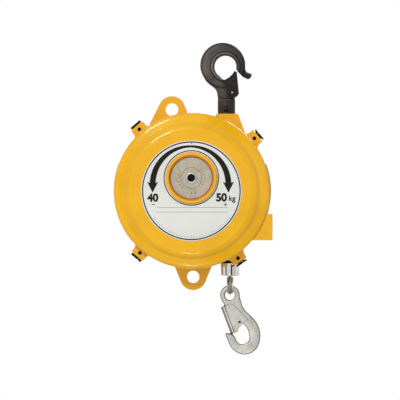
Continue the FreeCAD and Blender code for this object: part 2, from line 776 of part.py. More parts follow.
def load_hook():
    half = load_hook_thickness / 2
    neck = math.sqrt(load_eye_rim ** 2 - 5.6 ** 2)
    outline = [
        (13.8, -20.5), (16.0, -27.5, 20.5, -35), (25.5, -44.2), (29.6, -60, 25.6, -78),
        (4, -92.9, -15.7, -82.1), (-18.3, -77.9, -19.8, -73.3), (-22.2, -56.5),
        (-21.6, -54.6, -19.7, -54), (-12.8, -57.1), (-9.7, -61.5, -8.8, -66),
        (1, -76.7, 12.1, -65.1), (12.3, -57, 7, -45.7), (-2, -32), (-9.5, -19, -neck, -5.6),
        (0, load_eye_rim, neck, -5.6)]
    steps = []
    for step in outline:
        if len(step) == 4:
            steps.append(load_hook_outline(*step[:2]) + load_hook_outline(*step[2:]))
        else:
            steps.append(load_hook_outline(*step))
    body = bevelled_plate(half, load_hook_edge, load_hook_outline(neck, -5.6), *steps)
    flare = load_eye_hole + 3
    hole = lathe(
        hang_x, hang_z, (0, -half - 1), (flare, -half - 1), (flare, -half), (load_eye_hole, 0, flare, half),
        (flare, half + 1), (0, half + 1))
    body = body.cut(hole)
    body = body.cut(disc(hang_x + load_pivot_x, hang_z + load_pivot_z, load_pin_radius, -half - 1, half + 1))
    return turned(body, load_hook_tilt, hang_x, hang_z)


def load_latch():
    """Folded sheet latch: a spine across the throat and a cheek on each side of the shank."""
    half = load_hook_thickness / 2
    inner = half + light_gap
    outer = inner + load_sheet
    spine_in = load_sheet + 0.1
    cheek_outline = [
        (-3.4, -12.6), (2, -17), (16.3, -42.4), (7, -45.7), (-1, -51.3), (-3, -56.0), (-10.1, -56.0), (-13.6, -54.6)]
    steps = [load_hook_outline(*step) for step in cheek_outline]
    start = load_hook_outline(-17.6, -15.2)
    cheeks = plate(-outer, outer, start, *steps).cut(plate(
        -inner, inner, load_hook_outline(-17.6 + spine_in, -10), load_hook_outline(30, -10),
        load_hook_outline(30, -70), load_hook_outline(-13.6 + spine_in + 1.4, -70)))
    hole = disc(hang_x + load_pivot_x, hang_z + load_pivot_z, load_pin_radius + running, -outer - 1, outer + 1)
    return turned(cheeks.cut(hole), load_hook_tilt, hang_x, hang_z)


def rivet_pin(x, z, radius, half, head):
    """Cross pin along Y with a low bevelled head on each end."""
    return lathe(
        x, z, (0, -half - 1.5), (head * 0.55, -half - 1.5), (head, -half - 0.6), (head, -half), (radius, -half),
        (radius, half), (head, half), (head, half + 0.6), (head * 0.55, half + 1.5), (0, half + 1.5))


def load_latch_pin():
    half = load_hook_thickness / 2 + light_gap + load_sheet + 0.1
    pin = rivet_pin(hang_x + load_pivot_x, hang_z + load_pivot_z, load_pin_radius, half, load_pin_radius + 1.2)
    return turned(pin, load_hook_tilt, hang_x, hang_z)


def suspension_hook():
    """Forged hook: a round outside, a drop-shaped opening and a tip that curls outward."""
    half = hook_thickness / 2
    eye_z = -eye_radius

    def outer(angle):
        turn = math.radians(angle)
        return hook_x + hook_radius * math.cos(turn), hook_z + hook_radius * math.sin(turn)

    def inner(angle):
        turn = math.radians(angle)
        return eye_x + eye_radius * math.cos(turn), eye_z + eye_radius * math.sin(turn)

    body = plate(
        -half, half, (-stem_radius, collar_z), (-13.9, -58), (-15.5, -52.5, -18.5, -48.8), (-26, -43),
        (-30.3, -38.9) + outer(214), outer(105) + outer(-3), (28.5, -20), (29.8, -24, 35.2, -27.3),
        (37.2, -29.3, 36.2, -31.4), (33.5, -34.2, 30.5, -34.5), (24.6, -32), (17, -24),
        (15.5, -21.9) + inner(-10), inner(106) + inner(222), (-6.5, -34.2), (-5, -35.4, -3.4, -35.6),
        (3, -44), (9.0, -53.5, stem_radius, collar_z))
    edge = hook_radius - hook_edge
    bend = hook_edge * 0.3
    crown = lathe(
        hook_x, hook_z, (0, -half), (edge, -half), (hook_radius - bend, -half + bend, hook_radius, -half + hook_edge),
        (hook_radius, half - hook_edge), (hook_radius - bend, half - bend, edge, half), (0, half))
    tip = block(24, 50, -half + 2, half - 2, -60, -15)
    neck = block(-60, 24, -half, half, -50, -34)
    body = body.common(crown.fuse([tip, neck, neck_blend()]))
    flare = eye_radius + hook_edge
    for side in (-1, 1):
        body = body.cut(lathe(
            eye_x, eye_z, (0, side * (half + 1)), (flare, side * (half + 1)), (flare, side * half),
            (eye_radius + bend, side * (half - bend), eye_radius, side * (half - hook_edge)),
            (0, side * (half - hook_edge))))
    body = body.fuse(post(0, 0, tenon_radius, stem_pin_z - 4, collar_z + 1))
    body = body.cut(disc(latch_pivot_x, latch_pivot_z, latch_pin_radius, -half - 1, half + 1))
    return body.cut(disc(0, stem_pin_z, stem_pin_radius, -half - 5, half + 5))


def neck_blend():
    """Envelope of the neck: round like the stem at its foot and wide enough for the hook above."""
    return pillar(
        0, 0, (0, collar_z), (stem_radius, collar_z), (stem_radius + 1, collar_z + 6),
        (stem_radius + 12, -50), (0, -50))


def hook_stem():
    """Swivel stem: a collar that takes the hook's tenon, and a shank through the case's boss."""
    lower = boss_top_z + 0.1
    body = pillar(
        0, 0, (tenon_radius, collar_z), (stem_radius - 0.8, collar_z), (stem_radius, collar_z - 0.8),
        (stem_radius, lower + 1), (stem_radius - 1, lower), (shank_radius, lower), (shank_radius, nut_bottom - 2),
        (0, nut_bottom - 2), (0, stem_pin_z - 4), (tenon_radius, stem_pin_z - 4))
    return body.cut(disc(0, stem_pin_z, stem_pin_radius, -stem_radius - 1, stem_radius + 1))


def stem_pin():
    return rivet_pin(0, stem_pin_z, stem_pin_radius, stem_radius, stem_pin_radius + 1.25)


def hook_washer():
    """Hardened washer under the boss, inside the case."""
    outer = post(0, 0, nut_radius - 0.5, boss_bottom_z - 2, boss_bottom_z)
    return outer.cut(post(0, 0, shank_radius + running, boss_bottom_z - 3, boss_bottom_z + 1))


def hook_nut():
    corners = []
    for number in range(7):
        angle = math.radians(60 * number)
        corners.append(point(nut_radius * math.cos(angle), nut_radius * math.sin(angle), nut_bottom))
    body = Part.Face(Part.makePolygon(corners)).extrude(point(0, 0, nut_height))
    return body.cut(post(0, 0, shank_radius, nut_bottom - 1, nut_bottom + nut_height + 1))


def suspension_latch():
    """Folded sheet latch: its spine closes the mouth behind the curled tip."""
    inner = hook_thickness / 2 + light_gap
    outer = inner + latch_sheet
    foot = 8.0
    cheeks = plate(
        -outer, outer, (12.2, -23.4), (6.0, -31.5, -5, -37.4), (1.5, -50), (1.4, -56.5),
        (latch_pivot_x - foot * 0.6, latch_pivot_z - foot * 0.8, latch_pivot_x, latch_pivot_z - foot),
        (latch_pivot_x + foot * 0.8, latch_pivot_z - foot * 0.6, 18.8, -57.0), (15.6, -24.9))
    throat = plate(
        -inner, inner, (15.6 - latch_sheet, -20), (-12, -20), (-12, -70), (18.8 - latch_sheet, -70),
        (18.8 - latch_sheet, -57.0))
    body = cheeks.cut(throat)
    return body.cut(disc(latch_pivot_x, latch_pivot_z, latch_pin_radius + running, -outer - 1, outer + 1))


def suspension_latch_pin():
    half = hook_thickness / 2 + light_gap + latch_sheet + 0.1
    return rivet_pin(latch_pivot_x, latch_pivot_z, latch_pin_radius, half, latch_pin_radius + 1.3)


pieces = {
    "rear_case": rear_case,
    "front_cover": front_cover,
    "cover_seal": cover_seal,
    "cover_screws": cover_screws,
    "corner_bumpers": corner_bumpers,
    "label_plate": label_plate,
    "front_bush": front_bush,
    "rear_bush": rear_bush,
    "rear_cap": rear_cap,
    "rear_cap_screws": rear_cap_screws,
    "rope_guide": rope_guide,
    "guide_ring": guide_ring,
    "worm_bushes": worm_bushes,
    "main_shaft": main_shaft,
    "wheel_key": wheel_key,
    "worm_wheel": worm_wheel,
    "indicator_disc": indicator_disc,
    "worm": worm,
    "rope_drum": rope_drum,
    "wound_rope": wound_rope,
    "drum_rivets": drum_rivets,
    "drum_bushes": drum_bushes,
    "thrust_washers": thrust_washers,
    "spring_case": spring_case,
    "spring_case_lid": spring_case_lid,
    "spring_arbor": spring_arbor,
    "mainspring": mainspring,
    "rope_run": rope_run,
    "stop_cushion": stop_cushion,
    "stop_sleeve": stop_sleeve,
    "rope_ferrule": rope_ferrule,
    "thimble": thimble,
    "rope_eye": rope_eye,
    "load_hook": load_hook,
    "load_latch": load_latch,
    "load_latch_pin": load_latch_pin,
    "suspension_hook": suspension_hook,
    "hook_stem": hook_stem,
    "stem_pin": stem_pin,
    "hook_washer": hook_washer,
    "hook_nut": hook_nut,
    "suspension_latch": suspension_latch,
    "suspension_latch_pin": suspension_latch_pin,
}

os.makedirs("parts", exist_ok=True)
for name, make in pieces.items():
    shape = make()
    shape.exportStep("parts/" + name + ".step")
    print(name, len(shape.Solids), round(shape.Volume), shape.isValid())
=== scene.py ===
import bpy
import bmesh
import math
from mathutils import Matrix, Vector


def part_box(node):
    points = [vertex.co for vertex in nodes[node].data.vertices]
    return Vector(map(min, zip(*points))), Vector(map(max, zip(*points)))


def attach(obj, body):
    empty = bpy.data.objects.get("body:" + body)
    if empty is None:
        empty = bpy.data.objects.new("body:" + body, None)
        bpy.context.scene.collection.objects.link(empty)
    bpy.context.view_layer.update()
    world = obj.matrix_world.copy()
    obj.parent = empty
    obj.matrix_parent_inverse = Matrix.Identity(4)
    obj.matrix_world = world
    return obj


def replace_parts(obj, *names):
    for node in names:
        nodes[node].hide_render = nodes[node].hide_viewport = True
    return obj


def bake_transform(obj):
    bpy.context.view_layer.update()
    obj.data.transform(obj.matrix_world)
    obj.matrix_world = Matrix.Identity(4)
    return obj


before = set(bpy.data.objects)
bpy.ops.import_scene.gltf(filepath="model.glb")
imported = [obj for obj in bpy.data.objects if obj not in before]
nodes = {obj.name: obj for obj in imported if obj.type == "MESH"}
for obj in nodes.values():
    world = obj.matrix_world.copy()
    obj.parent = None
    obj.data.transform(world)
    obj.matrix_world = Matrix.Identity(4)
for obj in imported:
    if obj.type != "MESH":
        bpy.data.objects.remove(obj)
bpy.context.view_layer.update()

# Metres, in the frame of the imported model: the suspension hook's saddle is the origin and -Y faces the front.
# Sizes and places in the dictionaries are in millimetres and degrees, and the camera's in metres and degrees.
mm = 0.001
print("loaded", len(nodes), "nodes")


# Materials

def nodeTree(name):
    material = bpy.data.materials.new(name)
    material.use_nodes = True
    tree = material.node_tree
    shader = tree.nodes["Principled BSDF"]
    coords = tree.nodes.new("ShaderNodeTexCoord")
    return material, tree, shader, coords.outputs["Object"]


def noise(tree, vector, scale, detail):
    texture = tree.nodes.new("ShaderNodeTexNoise")
    texture.inputs["Scale"].default_value = scale
    texture.inputs["Detail"].default_value = detail
    tree.links.new(vector, texture.inputs["Vector"])
    return texture.outputs["Fac"]


def ramp(tree, value, stops):
    node = tree.nodes.new("ShaderNodeValToRGB")
    first, last = node.color_ramp.elements
    first.position, first.color = stops[0][0], (*stops[0][1], 1)
    last.position, last.color = stops[-1][0], (*stops[-1][1], 1)
    for position, color in stops[1:-1]:
        node.color_ramp.elements.new(position).color = (*color, 1)
    tree.links.new(value, node.inputs["Fac"])
    return node.outputs["Color"]


def mathNode(tree, operation, *values):
    node = tree.nodes.new("ShaderNodeMath")
    node.operation = operation
    for socket, value in zip(node.inputs, values):
        if isinstance(value, float):
            socket.default_value = value
        else:
            tree.links.new(value, socket)
    return node.outputs[0]


def vectorMath(tree, operation, first, second=None):
    node = tree.nodes.new("ShaderNodeVectorMath")
    node.operation = operation
    tree.links.new(first, node.inputs[0])
    if second is not None:
        node.inputs[1].default_value = second
    return node.outputs["Value" if operation in ("LENGTH", "DOT_PRODUCT") else "Vector"]


# Map Range node, returned whole because the floor also sets its kind of fade
def mapRange(tree, value, nearValue, farValue, nearResult=0.0, farResult=1.0):
    node = tree.nodes.new("ShaderNodeMapRange")
    node.inputs["From Min"].default_value = nearValue
    node.inputs["From Max"].default_value = farValue
    node.inputs["To Min"].default_value = nearResult
    node.inputs["To Max"].default_value = farResult
    tree.links.new(value, node.inputs["Value"])
    return node


def bump(tree, shader, height, strength, distance=0.0002):
    node = tree.nodes.new("ShaderNodeBump")
    node.inputs["Strength"].default_value = strength
    node.inputs["Distance"].default_value = distance
    tree.links.new(height, node.inputs["Height"])
    tree.links.new(node.outputs["Normal"], shader.inputs["Normal"])


# Finish whose colour drifts between two shades, with a fine surface grain and uneven roughness
def finish(name, dark, light, rough, metal=0.0, coat=0.0, tintScale=40, bumpScale=900, strength=0.15,
           specular=0.5):
    material, tree, shader, coords = nodeTree(name)
    tint = noise(tree, coords, tintScale, 5)
    tree.links.new(ramp(tree, tint, [(0.32, dark), (0.68, light)]), shader.inputs["Base Color"])
    wear = mapRange(tree, noise(tree, coords, tintScale * 2.3, 3), 0.3, 0.7, *rough)
    tree.links.new(wear.outputs["Result"], shader.inputs["Roughness"])
    shader.inputs["Metallic"].default_value = metal
    shader.inputs["Specular IOR Level"].default_value = specular
    shader.inputs["Coat Weight"].default_value = coat
    shader.inputs["Coat Roughness"].default_value = 0.08
    bump(tree, shader, noise(tree, coords, bumpScale, 3), strength)
    return material


paint = {
    "dark": (0.84, 0.43, 0.004), "light": (0.92, 0.485, 0.005), "rough": (0.26, 0.36), "coat": 0.5,
    "tintScale": 22, "bumpScale": 260, "strength": 0.04, "specular": 0.1,
}
forging = {
    "dark": (0.022, 0.019, 0.016), "light": (0.046, 0.040, 0.035), "rough": (0.36, 0.5),
    "tintScale": 60, "bumpScale": 420, "strength": 0.35, "specular": 0.14,
}
zinc = {
    "dark": (0.42, 0.415, 0.37), "light": (0.58, 0.57, 0.52), "rough": (0.34, 0.5), "metal": 0.85,
    "tintScale": 55, "bumpScale": 700, "strength": 0.25,
}
yellowPaint = finish("yellowPaint", **paint)
blackForged = finish("blackForged", **forging)
zincForged = finish("zincForged", **zinc)
blackRubber = finish("blackRubber", (0.008, 0.008, 0.008), (0.016, 0.015, 0.014), (0.6, 0.75), bumpScale=1500,
                     specular=0.12)
latchBlack = finish("latchBlack", (0.008, 0.007, 0.006), (0.017, 0.015, 0.013), (0.36, 0.5),
                    tintScale=110, bumpScale=1400, strength=0.5, specular=0.16)
bareSteel = finish("bareSteel", (0.40, 0.39, 0.36), (0.56, 0.55, 0.51), (0.25, 0.4), metal=1.0,
                   tintScale=90, bumpScale=1800, strength=0.12)
gunBlack = finish("gunBlack", (0.006, 0.006, 0.006), (0.014, 0.013, 0.012), (0.22, 0.3), specular=0.2)
# Grey of the thin sheets of painted shadow round the latch's cheeks
shadowGrey = finish("shadowGrey", (0.17, 0.165, 0.14), (0.22, 0.215, 0.19), (0.5, 0.6))
blackScrew = finish("blackScrew", (0.004, 0.004, 0.004), (0.011, 0.010, 0.009), (0.3, 0.4), specular=0.12)
blueStrip = finish("blueStrip", (0.06, 0.07, 0.11), (0.12, 0.13, 0.18), (0.25, 0.35), metal=1.0)
chrome = finish("chrome", (0.62, 0.61, 0.58), (0.74, 0.73, 0.70), (0.08, 0.14), metal=1.0,
                tintScale=30, bumpScale=2500, strength=0.03)
dialGrey = finish("dialGrey", (0.37, 0.34, 0.25), (0.47, 0.43, 0.33), (0.42, 0.55), metal=0.35,
                  tintScale=160, bumpScale=1600, strength=0.3)
castAlloy = finish("castAlloy", (0.45, 0.45, 0.44), (0.6, 0.6, 0.59), (0.35, 0.5), metal=1.0)
bronze = finish("bronze", (0.42, 0.25, 0.09), (0.58, 0.37, 0.15), (0.3, 0.42), metal=1.0)
darkNylon = finish("darkNylon", (0.02, 0.02, 0.02), (0.035, 0.035, 0.034), (0.45, 0.55))
labelFoil = finish("labelFoil", (0.72, 0.73, 0.69), (0.78, 0.79, 0.75), (0.30, 0.38), coat=0.2,
                   tintScale=14, bumpScale=500, strength=0.05)
printBlack = finish("printBlack", (0.008, 0.007, 0.006), (0.013, 0.012, 0.010), (0.5, 0.6),
                    tintScale=120, strength=0.05, specular=0.12)
dialMark = finish("dialMark", (0.10, 0.085, 0.06), (0.15, 0.13, 0.095), (0.5, 0.6),
                  tintScale=120, strength=0.05)
ropeSteel = finish("ropeSteel", (0.26, 0.25, 0.22), (0.46, 0.45, 0.41), (0.35, 0.5), metal=0.9,
                   tintScale=400, bumpScale=2500, strength=0.4)


# Painted light and shade that follow a piece's form

label = {
    "x": -50.0, "z": -204.0, "y": -78.8,
    "axisZ": -185.0,  # the dial's centre, above the label's own
}
topHook = {
    "eyeX": -1.5, "eyeR": 16.5,  # round stretch of the inside
    "outX": -5.5, "outZ": -14.4, "outR": 34.0,  # round stretch of the outside
    "half": 10.0, "stemR": 13.2, "collarZ": -64.7,
}
lowHook = {
    "x": 5.4, "z": -361.0, "tilt": 15.1,  # its eye, and the lean to the right
    "eye": 7.5, "rim": 14.7, "half": 5.5, "edge": 2.0,
    "pinX": 3.6, "pinZ": -42.6, "pinDot": 1.8,  # the latch's pin, on the hook before it leans
}
latchBend = {
    "x": -17.6, "z": -15.2, "turn": 5.8,  # upper left corner of the sheet, and the lean of its edge
}


# The same place in the part's frame, for a place on the load hook, which hangs leaning
def onLoadHook(x, z):
    tilt = math.radians(lowHook["tilt"])
    return (lowHook["x"] + x * math.cos(tilt) - z * math.sin(tilt),
            lowHook["z"] + x * math.sin(tilt) + z * math.cos(tilt))


# Multiplies the colour by a ramp over the value: a stop's shade is a number, or a colour
def tinted(material, value, stops):
    tree = material.node_tree
    shader = tree.nodes["Principled BSDF"]
    colours = [(spot, shade if isinstance(shade, tuple) else (shade,) * 3) for spot, shade in stops]
    mix = tree.nodes.new("ShaderNodeMix")
    mix.data_type = "RGBA"
    mix.blend_type = "MULTIPLY"
    mix.clamp_result = False
    mix.inputs["Factor"].default_value = 1.0
    tree.links.new(shader.inputs["Base Color"].links[0].from_socket, mix.inputs["A"])
    tree.links.new(ramp(tree, value, colours), mix.inputs["B"])
    tree.links.new(mix.outputs["Result"], shader.inputs["Base Color"])
    return material


def coordinates(material, kind="Object"):
    return next(node for node in material.node_tree.nodes if node.type == "TEX_COORD").outputs[kind]


# Bands of shade along a distance: near, far and the stops are in millimetres
def banded(material, value, near, far, stops):
    place = mapRange(material.node_tree, value, near * mm, far * mm)
    shares = [((spot - near) / (far - near), shade) for spot, shade in stops]
    return tinted(material, place.outputs["Result"], shares)


def offsetFrom(material, x, z):
    return vectorMath(material.node_tree, "SUBTRACT", coordinates(material), (x * mm, 0, z * mm))


# Distance from an axis along Y
def fromAxis(material, x, z):
    tree = material.node_tree
    return vectorMath(tree, "LENGTH", vectorMath(tree, "MULTIPLY", offsetFrom(material, x, z), (1, 0, 1)))


# Distance past a point, measured along a direction
def distanceAlong(material, x, z, direction):
    return vectorMath(material.node_tree, "DOT_PRODUCT", offsetFrom(material, x, z), direction)


# Painted shade on the rounded edges between the front or back face and the sides, darker than both, set by
# which way the surface faces
def shadedEdges(material, shade):
    tree = material.node_tree
    towardsY = vectorMath(tree, "DOT_PRODUCT", coordinates(material, "Normal"), (0, 1, 0))
    facing = mathNode(tree, "ABSOLUTE", towardsY)
    return tinted(material, facing, [(0.15, 1.0), (0.40, shade), (0.88, shade), (0.975, 1.0)])


# Zinc-plated sheet, darker towards the spine, with a painted highlight where it is bent over the shank and a
# painted shadow in a crease beside the bend
def latchSheetPaintedBend():
    sheet = {**zinc, "dark": (0.40, 0.395, 0.35), "light": (0.56, 0.55, 0.50), "metal": 0.75}
    material = finish("latchSheetPaintedBend", **sheet)
    turn = math.radians(lowHook["tilt"] + latchBend["turn"])
    corner = onLoadHook(latchBend["x"], latchBend["z"])
    return banded(material, distanceAlong(material, *corner, (math.cos(turn), 0, math.sin(turn))), 0, 10, [
        (0, 0.32), (3.0, 0.5), (3.4, 1.6), (4.4, 1.5), (4.7, 0.10), (5.6, 0.12), (6.1, 1.0)])


# The case's paint, with painted shade, deeper and more orange, down the bore where the dial sits
def coverPaintBoreShade():
    material = finish("coverPaintBoreShade", **paint)
    return banded(material, fromAxis(material, label["x"], label["axisZ"]), 28, 42, [
        (30.6, (0.50, 0.22, 0.6)), (31.6, (0.86, 0.50, 0.8)), (33.6, (0.94, 0.66, 0.9)),
        (35.2, 1.0), (41.0, 1.0)])


# Black stem, with a brighter band along its upper edge and a dark line where it meets the hook's collar;
# painted light on its left side and painted shade towards both flanks
def forgedStemPaintedLight():
    material = finish("forgedStemPaintedLight", **forging)
    banded(material, distanceAlong(material, 0, topHook["collarZ"], (0, 0, 1)), -5, 3, [
        (-3.4, 1.0), (-2.6, 2.2), (-1.5, 2.0), (-0.9, 0.15), (0.4, 0.15)])
    return banded(material, distanceAlong(material, 0, 0, (1, 0, 0)), -14, 14, [
        (-13.2, 0.5), (-11.5, 1.5), (-6, 1.5), (2, 1.0), (9, 0.7), (12.6, 0.5)])


# Black forging, with painted light on its left side, a painted highlight on the bead round the eye, painted
# shade in the creases beside it and along the eye's inner edge, and painted shade on the outer rim
def forgedEyePaintedLight():
    paler = {**forging, "dark": (0.032, 0.028, 0.024), "light": (0.064, 0.056, 0.049)}
    material = finish("forgedEyePaintedLight", **paler)
    banded(material, fromAxis(material, topHook["eyeX"], -topHook["eyeR"]), 14, 28, [
        (15.8, 0.3), (17.6, 0.45), (18.8, 1.0), (20.0, 2.6), (20.9, 2.2), (21.6, 0.25), (22.8, 0.25),
        (24.0, 1.1)])
    banded(material, distanceAlong(material, 0, 0, (1, 0, 0)), -30, 40, [
        (-24, 1.9), (-10, 1.5), (4, 1.0), (30, 0.5)])
    rim = topHook["outR"]
    return banded(material, fromAxis(material, topHook["outX"], topHook["outZ"]), rim - 6, rim + 4, [
        (rim - 3.4, 1.0), (rim - 1.9, 0.35), (rim + 0.8, 0.35), (rim + 2.5, 1.0)])


# Zinc-plated forging with painted shade on its rounded edges
def zincEdgeShade():
    return shadedEdges(finish("zincEdgeShade", **zinc), 0.3)


nodeFinish = {
    "rear_case": yellowPaint, "front_cover": coverPaintBoreShade(), "rear_cap": yellowPaint,
    "cover_seal": blackRubber, "cover_screws": blackScrew, "corner_bumpers": blackRubber,
    "label_plate": labelFoil, "front_bush": bronze, "rear_bush": bronze, "worm_bushes": bronze,
    "drum_bushes": bronze, "worm_wheel": bronze,
    "rear_cap_screws": bareSteel, "rope_guide": darkNylon, "guide_ring": blueStrip, "main_shaft": blackScrew,
    "wheel_key": bareSteel, "indicator_disc": dialGrey, "worm": bareSteel, "rope_drum": castAlloy,
    "wound_rope": ropeSteel, "drum_rivets": bareSteel, "thrust_washers": bareSteel, "spring_case": bareSteel,
    "spring_case_lid": bareSteel, "spring_arbor": bareSteel, "mainspring": blueStrip, "rope_run": ropeSteel,
    "stop_cushion": blackRubber, "stop_sleeve": chrome, "rope_ferrule": ropeSteel, "thimble": zincForged,
    "rope_eye": ropeSteel, "load_hook": zincForged, "load_latch": latchSheetPaintedBend(), "load_latch_pin": zincForged,
    "suspension_hook": blackForged, "hook_stem": forgedStemPaintedLight(), "stem_pin": blackForged,
    "hook_washer": bareSteel, "hook_nut": bareSteel, "suspension_latch": latchBlack,
    "suspension_latch_pin": gunBlack,
}
for name, material in nodeFinish.items():
    mesh = nodes[name].data
    mesh.materials.clear()
    mesh.materials.append(material)
    mesh.polygons.foreach_set("use_smooth", [True] * len(mesh.polygons))
    weld = nodes[name].modifiers.new("weld", "WELD")
    weld.merge_threshold = 0.00001
    split = nodes[name].modifiers.new("split", "EDGE_SPLIT")
    split.split_angle = math.radians(32)
print("materials", len(bpy.data.materials))


# Shapes

# Points of an arc after its first point, by a point between its ends
def arcPoints(first, middle, last, pieces):
    a, b = middle - first, last - first
    cross = 2 * (a.x * b.y - a.y * b.x)
    centre = first + Vector((b.y * a.length_squared - a.y * b.length_squared,
                             a.x * b.length_squared - b.x * a.length_squared)) / cross
    start = math.atan2(first.y - centre.y, first.x - centre.x)
    turn = math.atan2(last.y - centre.y, last.x - centre.x) - start
    if cross > 0:
        turn %= 2 * math.pi
    else:
        turn = -((-turn) % (2 * math.pi))
    radius = (first - centre).length
    count = max(3, round(pieces * abs(turn) / math.pi * 2))
    points = []
    for number in range(1, count + 1):
        angle = start + turn * number / count
        points.append(centre + Vector((math.cos(angle), math.sin(angle))) * radius)
    return points


# Line of straight and round stretches: a step of two numbers is a line, of four an arc by its middle.
# Where it comes back to its start, the last point is left out.
def outlinePoints(start, steps, pieces=14):
    points = [Vector(start)]
    for step in steps:
        end = Vector(step[-2:])
        if len(step) == 4:
            points += arcPoints(points[-1], Vector(step[:2]), end, pieces)
        else:
            points.append(end)
    if (points[-1] - points[0]).length < 1e-6:
        points.pop()
    return points


def onCircle(x, z, radius, degrees):
    return x + radius * math.cos(math.radians(degrees)), z + radius * math.sin(math.radians(degrees))


def circlePoints(x, z, radius, count=64):
    return [Vector(onCircle(x, z, radius, 360 * number / count)) for number in range(count)]


# Points at equal steps along an open line
def evenly(points, count):
    lengths = [0.0]
    for first, second in zip(points, points[1:]):
        lengths.append(lengths[-1] + (second - first).length)
    spread = []
    piece = 0
    for number in range(count + 1):
        target = lengths[-1] * number / count
        while piece < len(points) - 2 and lengths[piece + 1] < target:
            piece += 1
        share = (target - lengths[piece]) / max(lengths[piece + 1] - lengths[piece], 1e-9)
        spread.append(points[piece].lerp(points[piece + 1], min(1.0, share)))
    return spread


# Object of a new piece's mesh, smoothed between sharp edges, that rides with its body
def placed(name, mesh, material, body, sharp=40):
    piece = bpy.data.objects.new(name, mesh)
    bpy.context.scene.collection.objects.link(piece)
    mesh.materials.clear()
    mesh.materials.append(material)
    work = bmesh.new()
    work.from_mesh(mesh)
    bmesh.ops.remove_doubles(work, verts=work.verts, dist=0.000002)
    bmesh.ops.recalc_face_normals(work, faces=work.faces)
    work.to_mesh(mesh)
    work.free()
    mesh.polygons.foreach_set("use_smooth", [True] * len(mesh.polygons))
    mesh.set_sharp_from_angle(angle=math.radians(sharp))
    if body:
        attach(piece, body)
    return piece


def meshOf(name, work):
    mesh = bpy.data.meshes.new(name)
    work.to_mesh(mesh)
    work.free()
    return mesh


# Filled flat curve of closed loops, given as points of X and Z in millimetres
def flatCurve(name, loops, thickness):
    curve = bpy.data.curves.new(name, "CURVE")
    curve.dimensions = "2D"
    curve.fill_mode = "BOTH"
    curve.extrude = thickness / 2 * mm
    for loop in loops:
        spline = curve.splines.new("POLY")
        spline.points.add(len(loop) - 1)
        for point, place in zip(spline.points, loop):
            point.co = (place.x * mm, place.y * mm, 0, 1)
        spline.use_cyclic_u = True
    return curve


# Mesh of a curve or a text that lies flat, stood up at x and z with its middle at y
def stoodUp(name, curve, x, y, z):
    holder = bpy.data.objects.new(name, curve)
    mesh = bpy.data.meshes.new_from_object(holder)
    bpy.data.objects.remove(holder)
    mesh.transform(Matrix.Translation((x * mm, y * mm, z * mm)) @ Matrix.Rotation(math.radians(90), 4, "X"))
    return mesh


# Slab between two Y planes with rounded edges
def slab(name, loops, low, high, edge, material, body, sharp=40, roundSteps=3):
    curve = flatCurve(name, loops, high - low - 2 * edge)
    curve.bevel_depth = edge * mm
    curve.bevel_resolution = roundSteps
    curve.offset = -edge * mm
    return placed(name, stoodUp(name, curve, 0, (low + high) / 2, 0), material, body, sharp)


# Skin through a row of closed sections: the first is filled, then extruded onto each of the next
def loft(name, sections):
    work = bmesh.new()
    face = work.faces.new([work.verts.new(place) for place in sections[0]])
    for section in sections[1:]:
        grown = bmesh.ops.extrude_face_region(work, geom=[face, *face.edges])["geom"]
        face = next(item for item in grown if isinstance(item, bmesh.types.BMFace))
        for vertex, place in zip(face.verts, section):
            vertex.co = place
    return meshOf(name, work)


# Round piece about an axis along Y, with a profile of radii and places on Y in millimetres
def turnedPiece(name, profile, x, z, material, body, sides=28, sharp=35, hollow=False):
    work = bmesh.new()
    points = [work.verts.new(((x + radius) * mm, y * mm, z * mm)) for radius, y in profile]
    pairs = list(zip(points, points[1:]))
    if hollow:
        pairs.append((points[-1], points[0]))
    edges = [work.edges.new(pair) for pair in pairs]
    bmesh.ops.spin(work, geom=points + edges, cent=(x * mm, 0, z * mm), axis=(0, 1, 0),
                   angle=2 * math.pi, steps=sides, use_merge=True)
    if not hollow:
        bmesh.ops.holes_fill(work, edges=[edge for edge in work.edges if edge.is_boundary], sides=0)
    return placed(name, meshOf(name, work), material, body, sharp)


# Half of a dome's profile, from its middle to its foot
def domed(radius, seat, height):
    points = []
    for step in range(7):
        turn = math.radians(4 + 86 * step / 6)
        points.append((radius * math.sin(turn), -seat - height * math.cos(turn)))
    return points


# Suspension hook: sections between its outer and inner outlines, which are the solid's own

# Half thickness across the forging, from the eye to the outside: a bead round the eye, a waist and a crown
hookSection = [
    (0.0, 0.42), (0.02, 0.62), (0.06, 0.84), (0.12, 0.96), (0.19, 1.0), (0.25, 0.97), (0.30, 0.89),
    (0.35, 0.84), (0.45, 0.85), (0.60, 0.86), (0.74, 0.83), (0.85, 0.74), (0.93, 0.58), (0.98, 0.38),
    (1.0, 0.22)]
hookEnds = {
    "shankSections": 22,  # over which the round shank turns into the forging's own section
    "tipStart": 92, "tipThinning": 0.45,  # from this section on the tip gets thinner, by this share
}


def hookOuter(angle):
    return onCircle(topHook["outX"], topHook["outZ"], topHook["outR"], angle)


def hookInner(angle):
    return onCircle(topHook["eyeX"], -topHook["eyeR"], topHook["eyeR"], angle)


